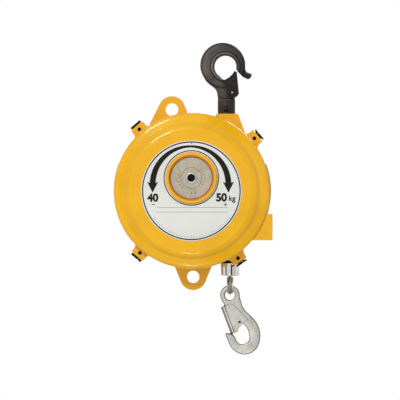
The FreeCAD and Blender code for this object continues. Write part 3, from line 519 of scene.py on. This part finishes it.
# Stretches of the hook from its collar to its tip: how many sections, the outer line and the inner line
def hookStretches():
    foot = topHook["stemR"] - 0.4
    collar = topHook["collarZ"] + 0.1
    neckOuter = [(-13.9, -58), (-15.5, -52.5, -18.5, -48.8), (-26, -43), (-30.3, -38.9) + hookOuter(214)]
    neckInner = [(9.0, -53.5, 3, -44), (-3.4, -35.6), (-5, -35.4, -6.5, -34.2), hookInner(222)]
    lipOuter = [(28.5, -20), (30.2, -23.6, 35.6, -26.3)]
    lipInner = [(15.5, -21.9, 17, -24), (24.6, -32), (30.5, -35.0)]
    return [
        (26, ((-foot, collar), neckOuter), ((foot, collar), neckInner)),
        (26, (hookOuter(214), [hookOuter(160) + hookOuter(105)]),
         (hookInner(222), [hookInner(164) + hookInner(106)])),
        (26, (hookOuter(105), [hookOuter(51) + hookOuter(-3)]),
         (hookInner(106), [hookInner(48) + hookInner(-10)])),
        (18, (hookOuter(-3), lipOuter), (hookInner(-10), lipInner)),
        (7, (lipOuter[-1][2:], [(38.1, -28.4, 37.5, -31.0)]), (lipInner[-1], [(34.6, -34.9, 36.9, -32.2)])),
    ]


def suspensionHook():
    pairs = []
    for count, outside, inside in hookStretches():
        stretch = zip(evenly(outlinePoints(*outside), count), evenly(outlinePoints(*inside), count))
        pairs += list(stretch)[1 if pairs else 0:]
    sections = []
    for number, (outside, inside) in enumerate(pairs):
        shank = max(0.0, 1 - number / hookEnds["shankSections"])
        tip = max(0.0, (number - hookEnds["tipStart"]) / (len(pairs) - hookEnds["tipStart"] - 1))
        front = []
        back = []
        for share, height in hookSection:
            roundHeight = math.sqrt(max(0.03, 1 - (2 * share - 1) ** 2))
            height += (roundHeight - height) * shank
            depth = topHook["half"] * height * (1 - hookEnds["tipThinning"] * tip ** 1.5)
            place = inside.lerp(outside, share)
            front.append((place.x * mm, -depth * mm, place.y * mm))
            back.append((place.x * mm, depth * mm, place.y * mm))
        sections.append(front + back[::-1])
    return placed("forgedHook", loft("forgedHook", sections), forgedEyePaintedLight(), "upper_hook", 55)


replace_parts(suspensionHook(), "suspension_hook")

hookPin = {
    "stemZ": -80.9, "stemR": 4.3, "stemSeat": 13.1, "stemDome": 2.6,
    "latchX": 9.3, "latchZ": -56.0, "latchR": 1.5, "latchSeat": 13.3, "latchDome": 0.9,
}


# Domed cross pin of the stem, from the front to the back
def stemRivet():
    front = domed(hookPin["stemR"], hookPin["stemSeat"], hookPin["stemDome"])
    back = [(radius, -y) for radius, y in front[::-1]]
    profile = front + [(3.0, -12.6), (3.0, 12.6)] + back
    return turnedPiece("stemRivet", profile, 0, hookPin["stemZ"], gunBlack, "upper_hook")


# Bright upset end of the latch's rivet
def latchRivetEnd():
    profile = domed(hookPin["latchR"], hookPin["latchSeat"], hookPin["latchDome"])
    profile.append((hookPin["latchR"], -12.8))
    return turnedPiece("latchRivetEnd", profile, hookPin["latchX"], hookPin["latchZ"], bareSteel,
                       "upper_hook")


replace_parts(stemRivet(), "stem_pin")
latchRivetEnd()
print("suspension hook")


# Load hook, drawn upright from the middle of its eye and then leaned

def loadHook():
    seat = 5.6  # height below the eye's centre where the shank leaves the rim
    neck = math.sqrt(lowHook["rim"] ** 2 - seat ** 2)
    steps = [
        (13.8, -20.5), (16.0, -27.5, 20.5, -35), (25.5, -44.2), (29.6, -60, 25.6, -78),
        (4, -92.9, -15.7, -82.1), (-18.3, -77.9, -19.8, -73.3), (-22.2, -56.5),
        (-21.6, -54.6, -19.7, -54), (-12.8, -57.1), (-9.7, -61.5, -8.8, -66),
        (1, -76.7, 12.1, -65.1), (12.3, -57, 7, -45.7), (-2, -32), (-9.5, -19, -neck, -seat),
        (0, lowHook["rim"], neck, -seat)]
    loops = [outlinePoints((neck, -seat), steps, 18), circlePoints(0, 0, lowHook["eye"])]
    leaning = [[Vector(onLoadHook(point.x, point.y)) for point in loop] for loop in loops]
    return slab("forgedLoadHook", leaning, -lowHook["half"], lowHook["half"], lowHook["edge"], zincEdgeShade(),
                "lower_hook", 50, 5)


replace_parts(loadHook(), "load_hook")

# Thin dark sheets of painted shadow on the sheet latch: their corners, and how far from the middle their two
# faces lie
latchShadowSheets = {
    "seamShadow": (5.6, 5.76), "gapShadow": (5.7, 5.84), "edge": 0.03,
    "cheek": [(-17.9, -14.6), (-3.2, -11.9), (2.5, -16.6), (17.2, -42.4), (7.1, -46.3), (-0.6, -51.6),
              (-2.8, -56.4), (-10.3, -56.6), (-14.1, -55.0)],
    "top": [(-18.2, -14.8), (-14.6, -13.9), (-11.4, -11.6), (-10.3, -12.5), (-13.4, -15.7), (-17.4, -17.2)],
    "foot": [(-15.2, -54.0), (-12.8, -54.9), (-10.4, -56.4), (-10.8, -57.9), (-13.7, -56.8)],
}


def latchShadowSheet(name, corners, faces, side, material):
    outline = [Vector(onLoadHook(x, z)) for x, z in latchShadowSheets[corners]]
    low, high = sorted(side * face for face in latchShadowSheets[faces])
    piece = slab(name, [outline], low, high, latchShadowSheets["edge"], material, "lower_latch", roundSteps=1)
    return piece


# Painted shadow: a thin grey sheet round each cheek, and black sheets in the gaps above and below the front one
latchShadowSheet("frontLatchSeamShadow", "cheek", "seamShadow", -1, shadowGrey)
latchShadowSheet("rearLatchSeamShadow", "cheek", "seamShadow", 1, shadowGrey)
latchShadowSheet("latchTopGapShadow", "top", "gapShadow", -1, gunBlack)
latchShadowSheet("latchFootGapShadow", "foot", "gapShadow", -1, gunBlack)


# Dark end of the latch's pin, just proud of the pin's own face
def latchPinDot():
    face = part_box("load_latch_pin")[0].y / mm
    profile = [(lowHook["pinDot"], face - 0.12), (lowHook["pinDot"], face + 0.4)]
    x, z = onLoadHook(lowHook["pinX"], lowHook["pinZ"])
    return turnedPiece("latchPinDot", profile, x, z, gunBlack, "lower_hook")


latchPinDot()
print("load hook")


# Wire rope: six strands laid in a ring, with no core between them

rope = {
    "radius": 2.4, "strands": 6, "strand": 0.86, "lay": 30.0, "x": 5.5,
    "loopR": 11.7, "loopZ": -346.3, "low": -331.5,  # the loop, and the height at which its legs meet
}
run = {
    "top": -208.9, "bottom": -320.0,
    "start": -299.0, "end": -316.0, "pull": 1300.0,  # it draws out between start and end
    "aboveSteps": 40, "packedSteps": 420, "belowSteps": 4,
}


# Round strands along a path in the Y-Z plane, in metres: angles are the lay's turn at each point
def strandsAlong(name, path, normals, angles, body, sides=7):
    work = bmesh.new()
    across = Vector((1, 0, 0))
    offset = (rope["radius"] - rope["strand"]) * mm
    rim = [2 * math.pi * side / sides for side in range(sides)]
    for strand in range(rope["strands"]):
        sections = []
        for place, normal, angle in zip(path, normals, angles):
            turn = angle + 2 * math.pi * strand / rope["strands"]
            middle = place + (across * math.cos(turn) + normal * math.sin(turn)) * offset
            spokes = [across * math.cos(spoke) + normal * math.sin(spoke) for spoke in rim]
            sections.append([middle + spoke * rope["strand"] * mm for spoke in spokes])
        single = loft("strand", sections)
        work.from_mesh(single)
        bpy.data.meshes.remove(single)
    return placed(name, meshOf(name, work), ropeSteel, body, 60)


def ropeLoop():
    height = rope["low"] - rope["loopZ"]
    reach = math.hypot(height, rope["radius"])
    start = math.atan2(height, rope["radius"]) - math.acos(rope["loopR"] / reach)
    leg = math.sqrt(reach ** 2 - rope["loopR"] ** 2)
    sweep = math.pi + 2 * start
    legSteps = 12
    loopSteps = 60
    spots = []  # angle on the loop, and the way past it along the leg
    spots += [(start, -leg * (1 - number / legSteps)) for number in range(legSteps)]
    spots += [(start - sweep * number / loopSteps, 0.0) for number in range(loopSteps + 1)]
    spots += [(start - sweep, leg * number / legSteps) for number in range(1, legSteps + 1)]
    places = []
    normals = []
    for angle, past in spots:
        y = math.cos(angle) * rope["loopR"] + math.sin(angle) * past
        z = math.sin(angle) * rope["loopR"] - math.cos(angle) * past
        places.append(Vector((rope["x"], y, rope["loopZ"] + z)) * mm)
        normals.append(Vector((0, math.cos(angle), math.sin(angle))))
    turns = [0.0]
    for first, second in zip(places, places[1:]):
        turns.append(turns[-1] + (second - first).length / (rope["lay"] * mm) * 2 * math.pi)
    return strandsAlong("strandedLoop", places, normals, turns, "rope_end")


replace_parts(ropeLoop(), "rope_eye")


# The rope inside the case, its lay packed between start and end, where it draws out when pulled
def ropeRun():
    places = []
    turns = []
    heights = []
    for upper, lower, steps in [("top", "start", "aboveSteps"), ("start", "end", "packedSteps"),
                                ("end", "bottom", "belowSteps")]:
        drop = run[lower] - run[upper]
        heights += [run[upper] + drop * number / run[steps] for number in range(run[steps])]
    for height in heights + [run["bottom"]]:
        share = min(1, max(0, (height - run["start"]) / (run["end"] - run["start"])))
        drawn = height - run["pull"] * share * share * (3 - 2 * share)
        places.append(Vector((rope["x"], 0, height)) * mm)
        turns.append(-drawn / rope["lay"] * 2 * math.pi)
    forward = [Vector((0, 1, 0))] * len(places)
    piece = strandsAlong("strandedRun", places, forward, turns, None)
    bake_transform(piece)
    return piece


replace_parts(ropeRun(), "rope_run")
print("rope")


# Label printing and dial marks: thin flat prints just proud of their plate

printDepth = 0.06
labelPlaces = {
    "edgeRing": (71.4, 73.2), "holeRing": (39.7, 41.1), "ticks": 69.6,  # radii
    "signZ": -224.4, "minusX": -106.4, "plusX": 0.8, "signReach": 2.6, "signHalf": 0.5,
    "hairlineEnds": (-102.3, 3.8), "upperHairline": -228.6, "lowerHairline": -235.6, "hairlineHalf": 0.2,
    "topMark": (-50.5, -49.5, -135, -133),
}
labelFigures = {  # text, centre, height and weight
    "lowFigure": ("40", -107.0, -214.8, 11.0, 0.07),
    "highFigure": ("50", -5.4, -214.4, 11.2, 0.07),
    "unitFigure": ("kg", 10.4, -215.6, 7.9, 0.035),
}
arrow = {
    "x": -51.2, "z": -194.3, "radius": 56.1,
    "thin": 1.6, "grows": 2.8,  # half widths: at the top, and what the sides have more
    "headHalf": 8.4, "headTop": 3.8, "headTip": (0.2, -12.5),
}


# Flat print of a curve or a text on the plane y
def flatPrint(name, curve, x, z, y, body, material):
    mesh = stoodUp(name, curve, x, y - printDepth / 2, z)
    return placed(name, mesh, material, body, 20)


def printed(name, loops, y, body="housing", material=printBlack):
    return flatPrint(name, flatCurve(name, loops, printDepth), 0, 0, y, body, material)


# Plain figures centred on x and z: the weight is what their strokes gain, as a share of the height
def figure(name, text, x, z, height, weight, y, body="housing", material=printBlack):
    curve = bpy.data.curves.new(name, "FONT")
    curve.body = text
    curve.size = height * mm / 0.7
    curve.align_x = "CENTER"
    curve.align_y = "CENTER"
    curve.extrude = printDepth / 2 * mm
    curve.offset = height * mm * weight
    return flatPrint(name, curve, x, z, y, body, material)


def ringLoops(x, z, inner, outer):
    return [circlePoints(x, z, outer, 128), circlePoints(x, z, inner, 128)[::-1]]


def barLoop(left, right, low, high):
    return [Vector((left, low)), Vector((right, low)), Vector((right, high)), Vector((left, high))]


# Plus or minus sign: a bar, and for the plus sign the same bar crossed by another
def signLoop(x, z, crossed):
    reach, half = labelPlaces["signReach"], labelPlaces["signHalf"]
    if not crossed:
        return barLoop(x - reach, x + reach, z - half, z + half)
    corner = [Vector((-reach, -half)), Vector((-half, -half)), Vector((-half, -reach))]
    turns = [Matrix.Rotation(math.radians(90 * number), 2) for number in range(4)]
    return [Vector((x, z)) + turn @ place for turn in turns for place in corner]


def tickLoop(x, z, degrees, inner, outer, half):
    turn = math.radians(degrees)
    outwards = Vector((math.cos(turn), math.sin(turn)))
    across = Vector((-outwards.y, outwards.x)) * half
    centre = Vector((x, z))
    return [centre + outwards * inner - across, centre + outwards * outer - across,
            centre + outwards * outer + across, centre + outwards * inner + across]


# Crescent over the dial: thin at the top and wide at the sides, with a head at each end
def arrowBand():
    outer = []
    inner = []
    for step in range(49):
        degrees = 2 + 176 * step / 48
        half = arrow["thin"] + arrow["grows"] * abs(math.cos(math.radians(degrees))) ** 1.2
        outer.append(Vector(onCircle(arrow["x"], arrow["z"], arrow["radius"] + half, degrees)))
        inner.append(Vector(onCircle(arrow["x"], arrow["z"], arrow["radius"] - half, degrees)))
    heads = []
    for side in (-1, 1):
        middle = Vector((arrow["x"] + side * arrow["radius"], arrow["z"]))
        tip = Vector((side * arrow["headTip"][0], arrow["headTip"][1]))
        heads.append([middle + Vector((-arrow["headHalf"], arrow["headTop"])), middle + tip,
                      middle + Vector((arrow["headHalf"], arrow["headTop"]))])
    left, right = heads
    return outer + left + inner[::-1] + right


def labelPrint():
    y = label["y"]
    at = labelPlaces
    printed("labelEdgeRing", ringLoops(label["x"], label["z"], *at["edgeRing"]), y)
    printed("labelHoleRing", ringLoops(label["x"], label["axisZ"], *at["holeRing"]), y)
    printed("arrowPrint", [arrowBand()], y)
    for name, values in labelFigures.items():
        figure(name, *values, y)
    printed("minusSign", [signLoop(at["minusX"], at["signZ"], False)], y)
    printed("plusSign", [signLoop(at["plusX"], at["signZ"], True)], y)
    for name in ("upperHairline", "lowerHairline"):
        low, high = at[name] - at["hairlineHalf"], at[name] + at["hairlineHalf"]
        printed(name, [barLoop(*at["hairlineEnds"], low, high)], y)
    printed("topMark", [barLoop(*at["topMark"])], y)
    ticks = []
    for step in range(41):
        length = 3.4 if step % 5 == 0 else 1.9
        degrees = 216 + 108 * step / 40
        ticks.append(tickLoop(label["x"], label["z"], degrees, at["ticks"] - length, at["ticks"], 0.22))
    printed("scaleTicks", ticks, y)


labelPrint()

dial = {
    "recess": 1.3,  # the marks' plane lies this far behind the dial's rim
    "ring": (15.2, 15.8), "ticks": (17.4, 21.6), "tickHalf": 0.3, "figures": 22.6, "figureHeight": 3.0,
    "figureWeight": 0.07,
}


# Tick marks and small figures on the dial, which turns with the winding shaft
def dialPrint():
    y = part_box("indicator_disc")[0].y / mm + dial["recess"]
    x, z = label["x"], label["axisZ"]
    angles = list(range(-45, 61, 15)) + list(range(150, 226, 15))
    marks = [tickLoop(x, z, angle, *dial["ticks"], dial["tickHalf"]) for angle in angles]
    printed("dialTicks", marks, y, "adjuster_shaft", dialMark)
    printed("dialRing", ringLoops(x, z, *dial["ring"]), y, "adjuster_shaft", dialMark)
    for text, degrees in (("1", 255), ("2", 270), ("3", 285)):
        figureX, figureZ = onCircle(x, z, dial["figures"], degrees)
        figure("dialFigure" + text, text, figureX, figureZ, dial["figureHeight"], dial["figureWeight"], y,
               "adjuster_shaft", dialMark)


dialPrint()

collar = {"inner": 5.9, "outer": 7.8, "rise": 0.25, "bevel": 0.3, "bevelFoot": 0.1, "sunk": 0.5}


# Plain collar round the shaft's hexagon, proud of the shaft's end
def hubRing():
    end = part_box("main_shaft")[0].y / mm
    inner, outer, bevel = collar["inner"], collar["outer"], collar["bevel"]
    top, foot, back = end - collar["rise"], end - collar["bevelFoot"], end + collar["sunk"]
    profile = [(inner, back), (inner, foot), (inner + bevel, top), (outer - bevel, top), (outer, foot),
               (outer, back)]
    return turnedPiece("hubRing", profile, label["x"], label["axisZ"], zincForged, "adjuster_shaft",
                       sides=60, sharp=30, hollow=True)


hubRing()
print("prints")


# Camera, light and floor

view = {
    "width": 0.6, "distance": 4.2, "turn": 2.0,  # metres and degrees
    "aim": (-0.039, -0.026, -0.21765),
}


# Long lens at the case's height, a little to the right of its centre
def camera():
    turn = math.radians(view["turn"])
    data = bpy.data.cameras.new("camera")
    data.sensor_width = 36
    data.lens = data.sensor_width * view["distance"] / view["width"]
    data.clip_end = 100
    item = bpy.data.objects.new("camera", data)
    bpy.context.scene.collection.objects.link(item)
    item.location = Vector(view["aim"]) + Vector((math.sin(turn), -math.cos(turn), 0.0)) * view["distance"]
    item.rotation_euler = (math.radians(90), 0, turn)
    bpy.context.scene.camera = item


# Round soft light, turned to the middle of the case: place and size in metres, power in watts
def softLight(name, place, size, power):
    data = bpy.data.lights.new(name, "AREA")
    data.shape = "DISK"
    data.size = size
    data.energy = power
    item = bpy.data.objects.new(name, data)
    bpy.context.scene.collection.objects.link(item)
    item.location = place
    direction = Vector((-0.05, 0, -0.2)) - Vector(place)
    item.rotation_euler = direction.to_track_quat("-Z", "Y").to_euler()


# Pale round floor that fades out into the white surroundings
def floor():
    work = bmesh.new()
    bmesh.ops.create_circle(work, cap_ends=True, segments=72, radius=2.6)
    bmesh.ops.translate(work, verts=work.verts, vec=(0, 0, -1.9))
    mesh = meshOf("floor", work)
    item = bpy.data.objects.new("floor", mesh)
    bpy.context.scene.collection.objects.link(item)
    material = finish("floorPale", (0.86, 0.86, 0.86), (0.89, 0.89, 0.89), (0.7, 0.8))
    tree = material.node_tree
    reach = vectorMath(tree, "LENGTH", vectorMath(tree, "MULTIPLY", coordinates(material), (1, 1, 0)))
    fade = mapRange(tree, reach, 0.3, 2.3, 1.0, 0.0)
    fade.interpolation_type = "SMOOTHERSTEP"
    tree.links.new(fade.outputs["Result"], tree.nodes["Principled BSDF"].inputs["Alpha"])
    mesh.materials.append(material)


# White surroundings at a plain level. Polished metal also mirrors the dark gaps between the soft lights.
def studioWorld():
    world = bpy.data.worlds.new("studio")
    world.use_nodes = True
    tree = world.node_tree
    background = tree.nodes["Background"]
    path = tree.nodes.new("ShaderNodeLightPath")
    split = tree.nodes.new("ShaderNodeSeparateXYZ")
    tree.links.new(tree.nodes.new("ShaderNodeTexCoord").outputs["Generated"], split.inputs[0])
    flip = mathNode(tree, "MULTIPLY", split.outputs["Y"], -1.0)
    turn = mathNode(tree, "ARCTAN2", split.outputs["X"], flip)
    place = mathNode(tree, "MULTIPLY_ADD", turn, 0.5 / math.pi, 0.5)
    gaps = ramp(tree, place, [
        (0.330, (1, 1, 1)), (0.345, (0.30, 0.22, 0.12)), (0.385, (0.30, 0.22, 0.12)), (0.400, (1, 1, 1)),
        (0.520, (1, 1, 1)), (0.530, (0.03, 0.03, 0.03)), (0.572, (0.03, 0.03, 0.03)),
        (0.584, (0.92, 0.90, 0.85)), (0.650, (0.62, 0.60, 0.55)), (0.700, (1, 1, 1))])
    mirror = tree.nodes.new("ShaderNodeMix")
    mirror.data_type = "RGBA"
    mirror.inputs["A"].default_value = (1, 1, 1, 1)
    tree.links.new(path.outputs["Is Glossy Ray"], mirror.inputs["Factor"])
    tree.links.new(gaps, mirror.inputs["B"])
    tree.links.new(mirror.outputs["Result"], background.inputs["Color"])
    direct = mathNode(tree, "ADD", path.outputs["Is Camera Ray"], path.outputs["Is Transmission Ray"])
    seen = mathNode(tree, "ADD", direct, path.outputs["Is Glossy Ray"])
    strength = mapRange(tree, seen, 0.0, 1.0, 0.5, 1.0)
    tree.links.new(strength.outputs["Result"], background.inputs["Strength"])
    bpy.context.scene.world = world


camera()
softLight("keyLight", (-0.66, -1.9, 0.78), 0.42, 19)
softLight("fillLight", (1.4, -1.6, 0.2), 1.2, 2)
softLight("lowLight", (-0.15, -1.9, -1.25), 0.26, 5)
softLight("rimLight", (0.6, 1.4, 0.9), 0.9, 14)
floor()
studioWorld()
bpy.context.scene.view_settings.view_transform = "Standard"
print("camera, light and floor")
